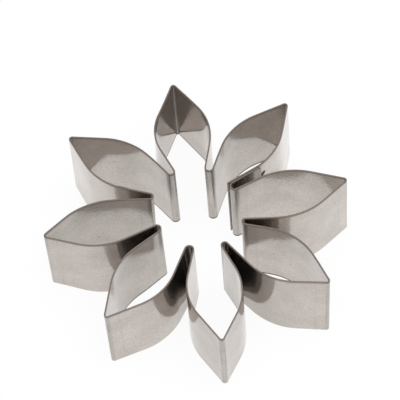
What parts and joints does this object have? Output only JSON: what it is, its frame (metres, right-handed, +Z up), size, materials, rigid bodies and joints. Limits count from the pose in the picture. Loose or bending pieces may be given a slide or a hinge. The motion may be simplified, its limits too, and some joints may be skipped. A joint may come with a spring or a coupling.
{
  "type": "flower fondant cutter",
  "caption": "Open flower-shaped fondant cutter bent from one thin steel strip stood on edge, with pointed petals and lapped, spot-welded ends.",
  "frame": {"origin": "middle of the ring of petal tips, on the plane of the cutting edge", "axes": "+Z up from the cutting edge to the top edge, +Y along the petal at the back of the picture, +X to the picture's right"},
  "size_m": [0.0745, 0.0757, 0.02],
  "materials": {
    "satin_steel": "rolled stainless sheet, satin to bright, with fine mottling and light handling marks",
    "weld_steel": "fused steel of a resistance spot weld, dull and slightly blued"
  },
  "bodies": {
    "root": {"cutter_strip": "satin_steel", "spot_weld_lower": "weld_steel", "spot_weld_upper": "weld_steel"}
  },
  "joints": []
}
